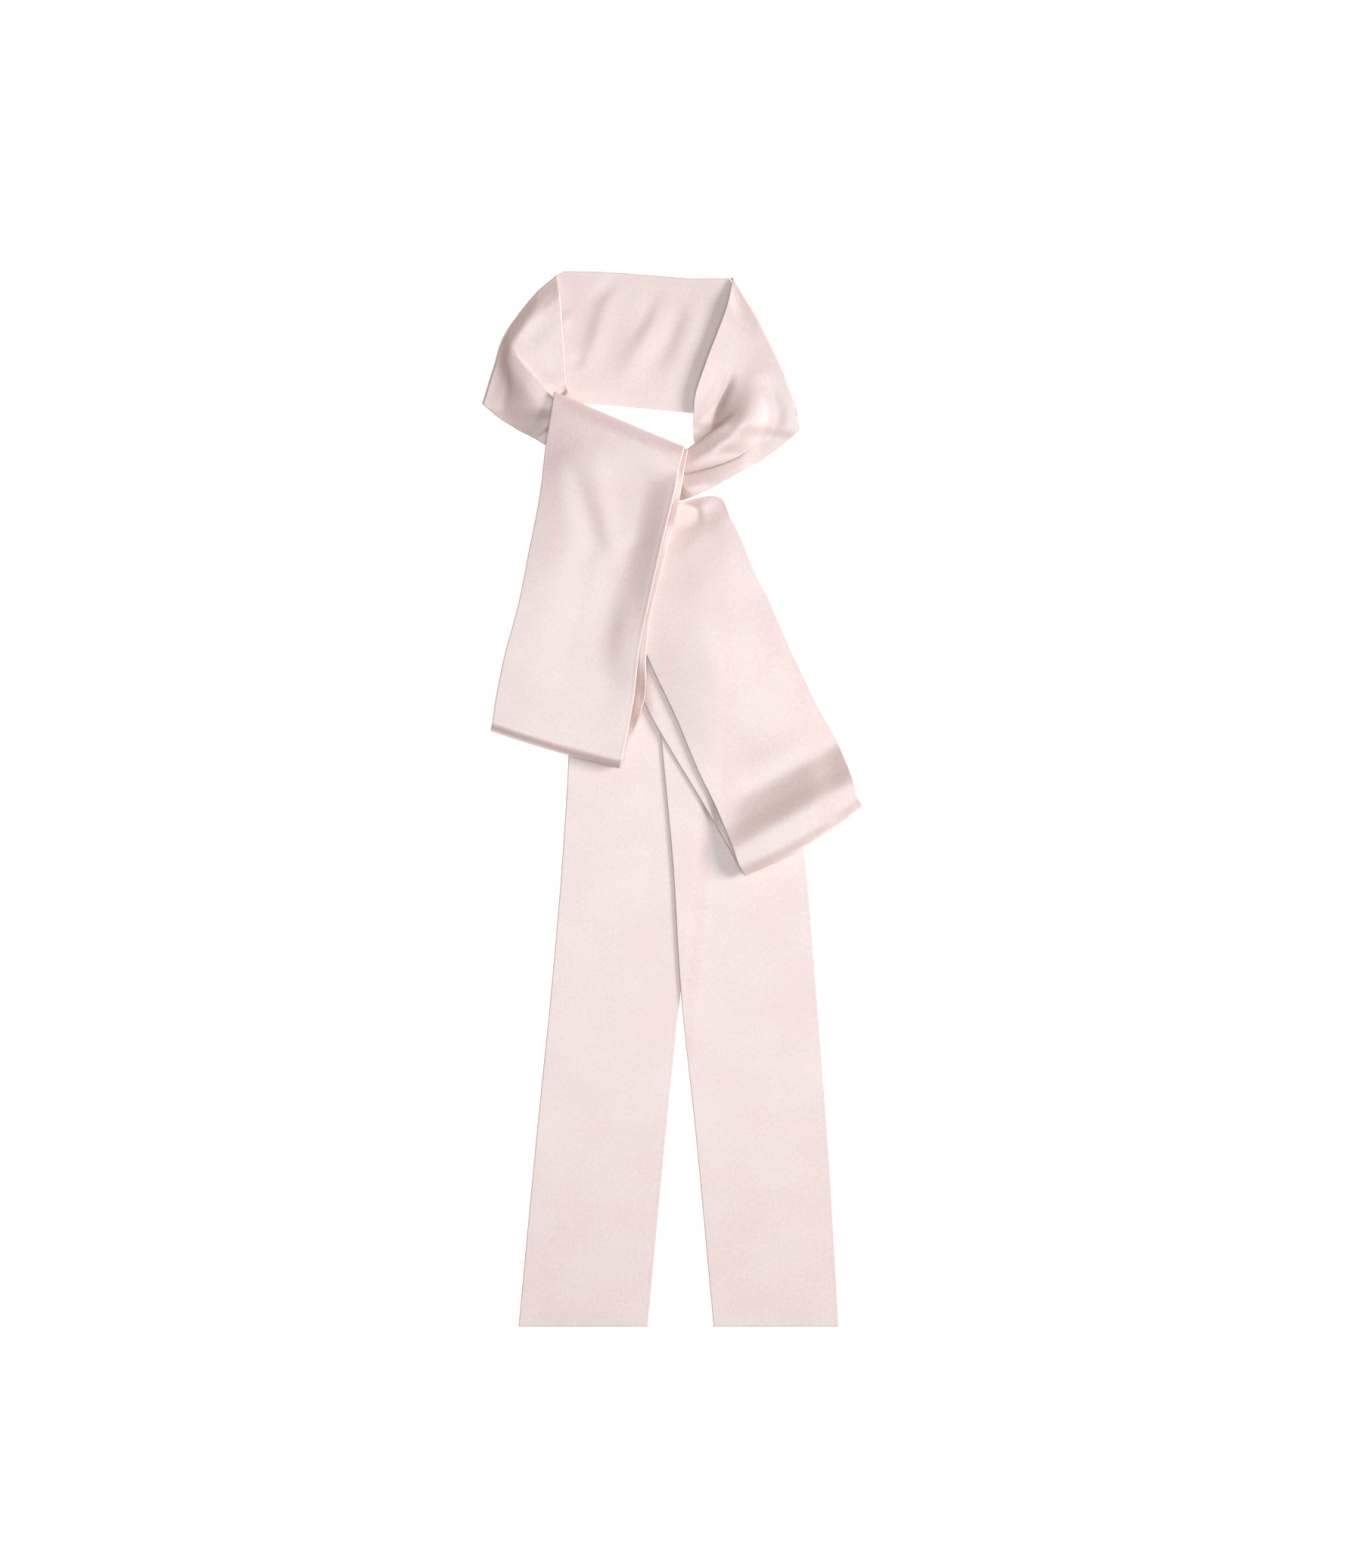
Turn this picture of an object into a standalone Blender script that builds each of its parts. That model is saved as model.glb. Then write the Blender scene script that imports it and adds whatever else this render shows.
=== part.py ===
# Satin neck scarf: one long doubled strip, wound once round the neck, tied in a loose bow
# and laid face up. Seen from above, the back of the neck is away (+Y), the tails run
# toward -Y, and +Z is up off the surface it lies on. Tables are in millimetres.

import bmesh
import bpy
import numpy as np

MM = 0.001
PLAN_MIDDLE = np.array([0.209, 0.308, 0.0])     # middle of the tables' plan, the origin

STRIP_WIDTH = 70.0          # finished width of the doubled strip
WALL = 1.1                  # modelled thickness of the doubled cloth
GAP = 0.35                  # air kept between one stretch and the next
SEAM_GAP = 0.5              # space where the back of the neck meets its folded sides

ROLL_STEPS = 6              # facets round each roll
LOOP_ROLL = 3.2             # radius of the folded ends of the loops
TOP_ROLL = 3.6              # radius where the left loop rolls over the knot
TOP_ROLL_ARC = 165.0        # degrees it turns through
TOP_ROLL_REACH = 4          # cells searched for what it must clear
TOP_ROLL_LEAST = 1.2        # smallest radius it may have
TOP_ROLL_BLEND = (1.0, 0.6, 0.3, 0.1)   # how the lift this takes fades, row by row
SIDE_FOLD_BLEND = (1.0, 0.5, 0.15)      # the same, beside the folded sides of the neck

TAIL_FACET = 11.0           # length of the facets along each stretch
UNDER_FACET = 7.0
FRONT_FACET = 6.0
NECK_SIDE_FACET = 6.5
NECK_BACK_FACET = 9.0
TAIL_STEPS = (4, 4)         # facets across, between one column of the net and the next
LOOP_STEPS = (5, 5)
NECK_BACK_STEPS = (2, 2, 2, 2, 2)
NECK_LEFT_STEPS = (2, 2, 1, 3, 3)
NECK_RIGHT_STEPS = (2, 1, 3, 2, 1, 2)

CELL = 1.0                  # size of one cell of the height map
MAP_LEFT = -130.0
MAP_NEAR = -315.0
MAP_COLUMNS = 260
MAP_ROWS = 640
FACET_SAMPLES = 14          # readings of the map along each side of a facet
DRAPE_SLOPE = 0.33          # steepest that cloth comes down beside what it lies on
DRAPE_REACH = 46            # cells that this slope is followed for
DRAPE_DILATE = 2            # cells the ground is widened by before it is smoothed
DRAPE_BLUR = 3              # cells to each side of the smoothing
LIFT_ROUNDS = 8             # most times a stretch is raised until it clears the ground

CORE_MIDDLE = (-27.0, 178.0)    # gathered layers inside the knot
CORE_HALF_LENGTH = 17.0
CORE_HALF_WIDTH = 15.5
CORE_HEIGHT = 6.6
CORE_RINGS = 12
CORE_SIDES = 24
BELOW_MIDDLE = -0.01        # height, on a ball of radius 1, under which the lump is cut off

SATIN = (0.86, 0.70, 0.675, 1.0)          # pale blush
SATIN_SHADED = (0.80, 0.63, 0.60, 1.0)    # the same cloth where it shows its inner side
SATIN_ROUGHNESS = 0.38

# Stretches of the strip. Each row is a section across it:
# middle x, middle y, share of the strip's width, turn in degrees,
# rise of its left edge, of its middle and of its right edge.
TAIL_LEFT_ROWS = [
    (-21.5, 152.1, 0.37, -2, 0.0, 0.0, 0.0),
    (-22.3, 114.6, 0.77, -1, 0.0, 0.0, 0.0),
    (-21.5, 72.9, 1.01, -1, 0.0, 0.0, 0.0),
    (-21.7, 29.6, 1.01, 0, 0.0, 0.0, 0.0),
    (-24.4, -25.8, 1.02, 0, 0.0, 0.0, 0.0),
    (-30.6, -100.8, 1.02, 0, 0.0, 0.0, 0.0),
    (-39.0, -184.2, 1.02, 0, 0.0, 0.0, 0.0),
    (-49.0, -290.4, 1.02, 0, 0.0, 0.0, 0.0),
]
TAIL_RIGHT_ROWS = [
    (-8.1, 152.5, 0.32, 0, 0.0, 0.0, 0.0),
    (13.3, 110.8, 0.77, 0, 0.0, 0.0, 0.0),
    (26.0, 66.0, 1.01, 2, 0.0, 0.0, 0.0),
    (31.3, 17.7, 1.03, 1, 0.0, 0.0, 0.0),
    (36.9, -34.6, 1.05, 1, 0.0, 0.0, 0.0),
    (41.7, -101.2, 1.07, 1, 0.0, 0.0, 0.0),
    (49.2, -184.2, 1.04, 0, 0.0, 0.0, 0.0),
    (57.3, -290.4, 0.99, 0, 0.0, 0.0, 0.0),
]
LOOP_RIGHT_END = (72.5, -23.3, 1.08, 30)
LOOP_RIGHT_BOW = 3.0        # how far the middle of its folded end bulges
LOOP_RIGHT_UNDER_ROWS = [
    (-2.1, 155.0, 0.27, 46, 0.0, 0.0, 0.0),
    (0.2, 146.2, 0.71, 38, 0.0, 0.0, 0.0),
    (4.0, 125.6, 0.97, 34, 0.0, 0.0, 0.0),
    (12.1, 92.9, 1.08, 24, 0.0, 0.0, 0.0),
    (18.5, 68.1, 1.06, 24, 0.0, 0.0, 0.0),
    (31.9, 44.6, 1.07, 26, 0.0, 0.0, 0.0),
    (48.1, 16.7, 1.05, 27, 0.0, 0.0, 0.0),
    (*LOOP_RIGHT_END, 0.0, 0.0, 0.0),
]
LOOP_RIGHT_FRONT_ROWS = [
    (-1.9, 155.8, 0.27, 52, 1.0, 1.5, 1.0),
    (1.4, 149.7, 0.73, 42, 1.0, 2.0, 2.5),
    (6.0, 132.7, 0.96, 36, 1.0, 0.8, 4.0),
    (12.7, 109.4, 1.04, 28, 1.0, 3.5, 3.0),
    (19.8, 93.8, 1.06, 27, 0.8, 4.5, 2.0),
    (35.8, 58.8, 1.05, 25, 1.0, 5.0, 2.0),
    (48.6, 30.8, 1.08, 27, 2.0, 4.5, 2.5),
    (58.1, 10.3, 1.09, 29, 2.5, 2.4, 2.5),
    (66.1, -7.7, 1.09, 30, 4.4, 5.0, 4.4),
    (*LOOP_RIGHT_END, 4.6, 4.8, 4.6),
]
LOOP_LEFT_END = (-64.5, 27.1, 1.06, -16)
LOOP_LEFT_BOW = 1.0
LOOP_LEFT_UNDER_ROWS = [
    (-26.7, 199.0, 0.96, -16, 0.0, 0.0, 0.0),
    (-30.0, 187.5, 1.07, -4, 0.0, 0.0, 0.0),
    (-32.1, 165.4, 1.04, 1, 0.0, 0.0, 0.0),
    (-39.6, 126.0, 0.97, -2, 0.0, 0.0, 0.0),
    (-45.2, 100.6, 0.95, -3, 0.0, 0.0, 0.0),
    (-48.8, 79.0, 0.99, 1, 0.0, 0.0, 0.0),
    (-52.7, 55.4, 1.07, -2, 0.0, 0.0, 0.0),
    (*LOOP_LEFT_END, 0.0, 0.0, 0.0),
]
LOOP_LEFT_FRONT_ROWS = [
    (-29.0, 208.5, 1.11, -23, 1.0, 2.0, 1.0),
    (-31.5, 195.4, 1.07, -11, 0.6, 1.6, 0.6),
    (-35.4, 172.7, 1.04, -2, 0.4, 1.4, 0.4),
    (-43.9, 136.4, 1.01, 4, 0.8, 3.2, 0.5),
    (-49.3, 107.7, 1.01, 2, 1.0, 4.0, 0.5),
    (-55.2, 79.4, 1.06, 2, 1.2, 4.4, 0.8),
    (-58.8, 56.0, 1.08, -2, 2.6, 4.6, 2.0),
    (*LOOP_LEFT_END, 4.2, 4.8, 4.2),
]

# The back of the neck: x and y of its upper edge, then of its lower edge.
NECK_BACK_ROWS = [
    (-36.9, 290.2, -46.5, 217.5),
    (-16.0, 288.8, -20.2, 215.4),
    (8.1, 286.9, 8.1, 212.7),
]
BACK_PLACES = (0.0, 0.2, 0.4, 0.6, 0.8, 1.0)
NECK_MIDDLE = (-15.0, 245.0)

# The two folded sides of the neck, where they're widest, from the inner edge down:
# x, y, radius of the fold, and how far the cloth slants along it as it turns over.
NECK_LEFT_FOLD = [
    (-62.7, 290.2, 1.8, 1.1),
    (-74.4, 279.2, 3.0, 1.0),
    (-88.5, 262.9, 3.5, 0.8),
    (-92.3, 255.8, 3.5, 0.7),
    (-98.5, 237.9, 3.3, 0.5),
    (-104.8, 217.5, 2.6, 0.4),
]
NECK_RIGHT_FOLD = [
    (34.0, 286.2, 1.8, 0.6),
    (49.4, 261.7, 3.3, 0.6),
    (52.3, 256.2, 3.4, 0.6),
    (60.6, 240.0, 3.5, 0.6),
    (68.1, 223.8, 3.5, 0.6),
    (69.8, 218.8, 3.4, 0.6),
    (72.1, 205.0, 2.6, 0.6),
]

# The two sides of the neck, from the fold to the knot. Each row is a section;
# each column is one line along the cloth, as x, y and the rise there.
NECK_LEFT_ROWS = [
    # inner edge, dish, foot of the pleat, ridge of the pleat, flap, lower edge
    ((-61.5, 275.0, 3.0), (-75.2, 262.9, 2.8), (-86.9, 248.3, 3.0),
     (-89.0, 246.2, 5.6), (-91.5, 227.9, 4.5), (-96.5, 210.4, 2.6)),
    ((-60.2, 258.3, 2.6), (-71.0, 248.3, 2.0), (-82.3, 239.6, 1.6),
     (-84.4, 237.5, 5.0), (-87.5, 221.6, 4.0), (-90.2, 206.2, 2.0)),
    ((-59.0, 241.7, 3.0), (-66.0, 237.1, 2.2), (-75.2, 233.8, 1.8),
     (-77.3, 231.7, 5.2), (-81.0, 217.5, 4.0), (-83.5, 202.1, 2.0)),
    ((-58.5, 230.4, 3.6), (-61.9, 229.2, 2.8), (-68.5, 227.9, 2.6),
     (-70.2, 225.8, 5.4), (-73.5, 212.5, 4.4), (-76.0, 198.3, 2.4)),
    ((-57.4, 223.8, 3.6), (-60.6, 223.4, 3.2), (-63.6, 222.8, 3.2),
     (-65.0, 220.4, 5.0), (-67.3, 208.3, 4.6), (-69.0, 194.2, 2.8)),
    ((-45.5, 213.5, 4.0), (-48.0, 211.2, 4.0), (-50.4, 208.8, 4.0),
     (-51.6, 206.4, 4.2), (-54.4, 199.2, 4.2), (-56.0, 191.7, 3.0)),
]
NECK_RIGHT_ROWS = [
    # inner edge, valley, first pleat, ridge, foot of the second pleat, its edge, lower edge
    ((30.6, 273.8, 3.2), (42.7, 247.5, 4.4), (46.0, 242.9, 5.0), (54.4, 228.8, 6.0),
     (63.0, 212.5, 4.6), (63.9, 209.6, 5.2), (65.6, 198.8, 2.8)),
    ((24.6, 256.7, 3.0), (36.5, 230.8, 2.4), (39.8, 227.9, 4.4), (46.5, 216.2, 6.2),
     (53.1, 202.1, 3.4), (54.4, 199.6, 5.0), (56.5, 191.4, 2.2)),
    ((18.3, 240.0, 3.0), (29.0, 214.6, 1.4), (32.7, 211.7, 4.8), (36.0, 200.8, 6.4),
     (38.5, 190.8, 2.8), (39.4, 188.3, 5.2), (41.5, 181.4, 2.0)),
    ((12.1, 220.0, 3.4), (21.5, 203.8, 1.4), (24.4, 200.8, 5.4), (25.6, 193.3, 6.4),
     (26.9, 186.2, 3.2), (27.3, 183.8, 5.4), (29.6, 174.6, 2.2)),
    ((11.5, 202.5, 4.2), (15.2, 198.3, 2.6), (16.9, 195.8, 5.8), (16.9, 188.8, 6.4),
     (17.3, 182.5, 4.0), (17.7, 180.0, 5.8), (19.4, 169.6, 2.6)),
    ((9.4, 193.8, 4.4), (9.2, 191.4, 4.0), (8.6, 189.0, 5.4), (7.7, 183.8, 6.2),
     (6.9, 178.2, 4.6), (6.5, 175.4, 5.6), (4.4, 163.8, 3.0)),
    ((-1.0, 191.4, 4.0), (-1.6, 188.9, 4.0), (-2.2, 186.6, 4.4), (-3.1, 181.8, 4.4),
     (-4.0, 177.2, 4.2), (-4.5, 174.6, 4.2), (-6.0, 167.5, 3.0)),
]


def spline(values, knots, places):
    """A smooth curve through the values, read at the given places; heights never overshoot."""
    values = np.asarray(values, float)
    knots = np.asarray(knots, float)
    tall = (-1,) + (1,) * (values.ndim - 1)
    gaps = np.diff(knots).reshape(tall)
    slopes = np.diff(values, axis=0) / gaps
    tangents = np.empty_like(values)
    tangents[0] = slopes[0]
    tangents[-1] = slopes[-1]
    if len(knots) > 2:
        before = gaps[:-1]
        after = gaps[1:]
        inner = (slopes[:-1] * after + slopes[1:] * before) / (before + after)
        turning = slopes[:-1, ..., 2] * slopes[1:, ..., 2] <= 0.0
        inner[..., 2] = np.where(turning, 0.0, inner[..., 2])
        tangents[1:-1] = inner
    low = np.clip(np.searchsorted(knots, places, side="right") - 1, 0, len(knots) - 2)
    size = gaps[low]
    share = (places - knots[low]).reshape(tall) / size
    return (
        values[low] * (1.0 + 2.0 * share) * (1.0 - share) ** 2
        + tangents[low] * size * share * (1.0 - share) ** 2
        + values[low + 1] * share ** 2 * (3.0 - 2.0 * share)
        + tangents[low + 1] * size * share ** 2 * (share - 1.0)
    )


def lengths_along(points):
    """Distance from the first point to each, along the line."""
    steps = np.linalg.norm(np.diff(points[:, :2], axis=0), axis=1)
    return np.concatenate([[0.0], np.cumsum(steps)])


def section_net(rows):
    """Left edge, middle and right edge of each section of a stretch."""
    net = []
    for x, y, share, turn, rise_left, rise_middle, rise_right in rows:
        half = STRIP_WIDTH * share / 2.0
        across = np.array([np.cos(np.radians(turn)), np.sin(np.radians(turn))]) * half
        net.append((
            (x - across[0], y - across[1], rise_left),
            (x, y, rise_middle),
            (x + across[0], y + across[1], rise_right),
        ))
    return np.array(net)


def fill_net(net, length, steps):
    """Spread a net of sections into an even grid, facets about the given length."""
    middle = lengths_along(net[:, net.shape[1] // 2])
    count = max(int(round(middle[-1] / length)), 2)
    net = spline(net, middle, np.linspace(0.0, middle[-1], count + 1))
    columns = np.arange(len(steps) + 1, dtype=float)
    places = [np.linspace(k, k + 1, n + 1)[:-1] for k, n in enumerate(steps)]
    places = np.concatenate(places + [[columns[-1]]])
    widths = np.linalg.norm(np.diff(net[:, :, :2], axis=1), axis=2).mean(axis=0)
    knots = np.concatenate([[0.0], np.cumsum(widths)])
    places = np.interp(places, columns, knots)
    return np.swapaxes(spline(np.swapaxes(net, 0, 1), knots, places), 0, 1)


def refine(grid, steps):
    """The grid with every cell cut into steps by steps smaller ones."""
    for axis in (0, 1):
        last = grid.shape[axis] - 1
        places = np.linspace(0, last, last * steps + 1)
        low = np.minimum(places.astype(int), last - 1)
        share = (places - low).reshape((-1, 1, 1) if axis == 0 else (1, -1, 1))
        grid = np.take(grid, low, axis) * (1.0 - share) + np.take(grid, low + 1, axis) * share
    return grid


def normals(grid):
    """Unit normals of a grid, up where its rows run toward -Y and its columns toward +X."""
    down = np.gradient(grid, axis=0)
    across = np.gradient(grid, axis=1)
    normal = np.cross(down, across)
    return normal / np.linalg.norm(normal, axis=2, keepdims=True)


class Ground:
    """Height of everything laid down so far, seen from above."""

    def __init__(self):
        self.top = np.full((MAP_ROWS, MAP_COLUMNS), -GAP)

    def cells(self, points):
        column = np.rint((points[..., 0] - MAP_LEFT) / CELL).astype(int)
        row = np.rint((points[..., 1] - MAP_NEAR) / CELL).astype(int)
        return row, column

    def lay(self, surfaces):
        for surface in surfaces:
            fine = refine(surface, FACET_SAMPLES)
            np.maximum.at(self.top, self.cells(fine), fine[..., 2])

    def drape(self):
        """A surface that clears the ground and comes down from it no steeper than cloth."""
        height = self.top.copy()
        for step in range(DRAPE_REACH):
            fall = 0.0 if step < DRAPE_DILATE else DRAPE_SLOPE * CELL
            padded = np.pad(height, 1, mode="edge")
            straight = np.maximum(
                np.maximum(padded[:-2, 1:-1], padded[2:, 1:-1]),
                np.maximum(padded[1:-1, :-2], padded[1:-1, 2:]),
            )
            corner = np.maximum(
                np.maximum(padded[:-2, :-2], padded[2:, 2:]),
                np.maximum(padded[:-2, 2:], padded[2:, :-2]),
            )
            height = np.maximum(height, np.maximum(straight - fall, corner - fall * 2 ** 0.5))
        for axis in (0, 1, 0, 1):
            width = [(DRAPE_BLUR, DRAPE_BLUR) if k == axis else (0, 0) for k in (0, 1)]
            padded = np.pad(height, width, mode="edge")
            places = np.arange(height.shape[axis])
            shifts = range(2 * DRAPE_BLUR + 1)
            height = np.mean([np.take(padded, places + shift, axis) for shift in shifts], axis=0)
        return height

    def read(self, height, points):
        """Height of the surface at the points, between its cells."""
        x = (points[..., 0] - MAP_LEFT) / CELL
        y = (points[..., 1] - MAP_NEAR) / CELL
        column = np.floor(x).astype(int)
        row = np.floor(y).astype(int)
        right = x - column
        away = y - row
        near = height[row, column] * (1.0 - right) + height[row, column + 1] * right
        far = height[row + 1, column] * (1.0 - right) + height[row + 1, column + 1] * right
        return near * (1.0 - away) + far * away

    def highest(self, points, reach):
        """Highest ground within reach of each point, in whole cells each way."""
        row, column = self.cells(points)
        steps = range(-reach, reach + 1)
        return np.max([self.top[row + k, column + n] for k in steps for n in steps], axis=0)

    def shortfall(self, surface):
        """How much each point of a surface must rise to clear the ground by the gap."""
        fine = refine(surface, FACET_SAMPLES)
        need = self.top[self.cells(fine)] + GAP - fine[..., 2]
        rows = surface.shape[0] - 1
        columns = surface.shape[1] - 1
        cells = need[:-1, :-1].reshape(rows, FACET_SAMPLES, columns, FACET_SAMPLES)
        cells = cells.max(axis=(1, 3))
        padded = np.pad(cells, 1, mode="constant", constant_values=-1.0)
        around = [padded[:-1, :-1], padded[1:, :-1], padded[:-1, 1:], padded[1:, 1:]]
        return np.maximum(np.max(around, axis=0), 0.0)


def lay_down(net, ground):
    """Lay a grid of x, y and rise on the ground and return its middle surface."""
    grid = net.copy()
    base = ground.read(ground.drape(), grid)
    grid[..., 2] = base + GAP + WALL / 2.0 + net[..., 2]
    for _ in range(LIFT_ROUNDS):
        need = ground.shortfall(grid - normals(grid) * WALL / 2.0)
        if need.max() <= 0.0:
            break
        grid[..., 2] += need
    return grid


def sideways(line, toward):
    """Unit steps along a line seen from above, and to its side toward the given point."""
    along = np.gradient(line[:, :2], lengths_along(line), axis=0)
    along /= np.linalg.norm(along, axis=1, keepdims=True)
    side = np.stack([along[:, 1], -along[:, 0]], axis=1)
    if np.dot(side.sum(axis=0), np.asarray(toward) - line[:, :2].mean(axis=0)) < 0.0:
        side = -side
    return along, side


def inset(line, distance, toward):
    """The line moved sideways, as seen from above, toward the given point."""
    moved = line.copy()
    moved[:, :2] += sideways(line, toward)[1] * distance
    return moved


def face_up(grid):
    """The grid with its columns turned round if its cloth would face the floor."""
    if normals(grid)[..., 2].sum() < 0.0:
        return grid[:, ::-1]
    return grid


def roll(edge, outward, low, arc=180.0, along=0.0, slant=0.0):
    """Rows that carry an edge outward, down and back under it, as far as the low height."""
    radius = (edge[:, 2] - low) / 2.0
    rows = []
    for step in range(1, ROLL_STEPS + 1):
        angle = np.radians(arc) * step / ROLL_STEPS
        row = edge.copy()
        row[:, :2] += outward * (radius * np.sin(angle))[:, None]
        row[:, :2] -= along * (slant * radius * angle)[:, None]
        row[:, 2] -= radius * (1.0 - np.cos(angle))
        rows.append(row)
    return np.array(rows)


def faces_of(grid):
    """Both faces of the wall whose middle surface is the grid."""
    half = normals(grid) * WALL / 2.0
    return grid + half, grid - half


def satin(name, colour):
    material = bpy.data.materials.new(name)
    material.use_nodes = True
    shader = material.node_tree.nodes["Principled BSDF"]
    shader.inputs["Base Color"].default_value = colour
    shader.inputs["Roughness"].default_value = SATIN_ROUGHNESS
    shader.inputs["Metallic"].default_value = 0.0
    material.diffuse_color = colour
    return material


def add_object(name, mesh, colour):
    for polygon in mesh.polygons:
        polygon.use_smooth = True
    mesh.materials.append(satin(name, colour))
    item = bpy.data.objects.new(name, mesh)
    bpy.context.scene.collection.objects.link(item)
    return item


def add_wall(name, grid, colour):
    """A sheet through the grid's points, thickened to both sides into a closed wall."""
    sheet = bmesh.new()
    points = [[sheet.verts.new(point) for point in row] for row in (grid - PLAN_MIDDLE) * MM]
    for row, after in zip(points, points[1:]):
        for column in range(len(row) - 1):
            sheet.faces.new((row[column], after[column], after[column + 1], row[column + 1]))
    mesh = bpy.data.meshes.new(name)
    sheet.to_mesh(mesh)
    sheet.free()
    item = add_object(name, mesh, colour)
    wall = item.modifiers.new("wall", "SOLIDIFY")
    wall.thickness = WALL * MM
    wall.offset = 0.0


def add_tail(name, rows, ground):
    grid = lay_down(fill_net(section_net(rows), TAIL_FACET, TAIL_STEPS), ground)
    ground.lay(faces_of(grid))
    add_wall(name, grid, SATIN)


def loop_net(rows, bow, back):
    """Sections of a loop, the last one drawn back to where the roll starts and bowed."""
    net = section_net(rows)
    outward = -sideways(net[-1], net[-2, 1, :2])[1][0]
    net[-1, :, :2] -= outward * (LOOP_ROLL + WALL / 2.0 + back)
    net[-1, 1, :2] += outward * bow
    return net, outward


def add_loop(name, under_rows, front_rows, bow, start, ground):
    """A loop in two stretches: the one beneath, and the front with its folded end."""
    net = loop_net(under_rows, bow, GAP)[0]
    under = lay_down(fill_net(net, UNDER_FACET, LOOP_STEPS), ground)
    ground.lay(faces_of(under))
    add_wall(name + "_under", under, SATIN_SHADED)

    net, outward = loop_net(front_rows, bow, 0.0)
    net[0] = inset(net[0], start, net[1, 1, :2])
    front = lay_down(fill_net(net, FRONT_FACET, LOOP_STEPS), ground)
    return np.concatenate([front, roll(front[-1], outward, under[-1, :, 2])])


def add_loop_right(ground):
    front = add_loop(
        "loop_right", LOOP_RIGHT_UNDER_ROWS, LOOP_RIGHT_FRONT_ROWS, LOOP_RIGHT_BOW, 0.0, ground
    )
    ground.lay(faces_of(front))
    add_wall("loop_right_front", front, SATIN)


def add_loop_left(ground):
    """The left loop is topmost; its top edge rolls over the knot as well."""
    front = add_loop(
        "loop_left", LOOP_LEFT_UNDER_ROWS, LOOP_LEFT_FRONT_ROWS, LOOP_LEFT_BOW,
        TOP_ROLL + WALL / 2.0, ground
    )
    outward = -sideways(front[0], front.mean(axis=(0, 1))[:2])[1]
    beyond = front[0, :, :2] + outward * TOP_ROLL / 2.0
    low = ground.highest(beyond, TOP_ROLL_REACH) + GAP + WALL / 2.0
    lift = np.maximum(low + 2.0 * TOP_ROLL_LEAST - front[0, :, 2], 0.0)
    radius = (front[0, :, 2] + lift - low) / 2.0
    for row, share in enumerate(TOP_ROLL_BLEND):
        front[row, :, 2] += lift * share
        front[row, :, :2] += outward * ((TOP_ROLL - radius) * share)[:, None]
    back = roll(front[0], outward, low, TOP_ROLL_ARC)
    front = np.concatenate([back[::-1], front])
    add_wall("loop_left_front", front, SATIN)


def fold_line(fold, toward, over):
    """Where the cloth starts to turn at a folded side: over it (1) or beneath it (-1)."""
    along, side = sideways(fold, toward)
    radius = fold[:, 2:3]
    slant = fold[:, 3:4]
    line = np.zeros((len(fold), 3))
    line[:, :2] = fold[:, :2] + side * (radius + WALL / 2.0)
    line[:, :2] += along * over * slant * radius * np.pi / 2.0
    line[:, 2] = 2.0 * fold[:, 2] - WALL - GAP
    return line


def add_neck_side(name, fold, rows, steps, ground):
    """One side of the neck: the folded side down to the floor, and the cloth to the knot."""
    fold = np.array(fold)
    net = np.concatenate([fold_line(fold, NECK_MIDDLE, 1)[None], rows])
    grid = lay_down(fill_net(net, NECK_SIDE_FACET, steps), ground)
    along, side = sideways(grid[0], NECK_MIDDLE)
    knots = lengths_along(fold)
    places = lengths_along(grid[0])
    places *= knots[-1] / places[-1]
    radius = np.interp(places, knots, fold[:, 2])
    slant = np.interp(places, knots, fold[:, 3])
    lift = WALL / 2.0 + 2.0 * radius - grid[0, :, 2]
    for row, share in enumerate(SIDE_FOLD_BLEND):
        grid[row, :, 2] += lift * share
    turn = roll(grid[0], -side, WALL / 2.0, along=along, slant=slant)
    grid = face_up(np.concatenate([turn[::-1], grid]))
    ground.lay(faces_of(grid))
    add_wall(name, grid, SATIN)


def add_neck_back(ground):
    """The back of the neck, between the feet of the two folded sides."""
    places = np.array(BACK_PLACES)
    ends = []
    for fold in (NECK_LEFT_FOLD, NECK_RIGHT_FOLD):
        line = fold_line(np.array(fold), NECK_MIDDLE, -1)
        line = inset(line, SEAM_GAP, NECK_MIDDLE)
        length = lengths_along(line)
        x = np.interp(places * length[-1], length, line[:, 0])
        y = np.interp(places * length[-1], length, line[:, 1])
        ends.append(np.stack([x, y, np.zeros_like(x)], axis=1))
    between = []
    for upper_x, upper_y, lower_x, lower_y in NECK_BACK_ROWS:
        x = upper_x + (lower_x - upper_x) * places
        y = upper_y + (lower_y - upper_y) * places
        between.append(np.stack([x, y, np.zeros_like(x)], axis=1))
    net = np.array([ends[0]] + between + [ends[1]])
    grid = lay_down(fill_net(net, NECK_BACK_FACET, NECK_BACK_STEPS), ground)
    grid = face_up(grid)
    ground.lay(faces_of(grid))
    add_wall("neck_back", grid, SATIN_SHADED)


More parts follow.
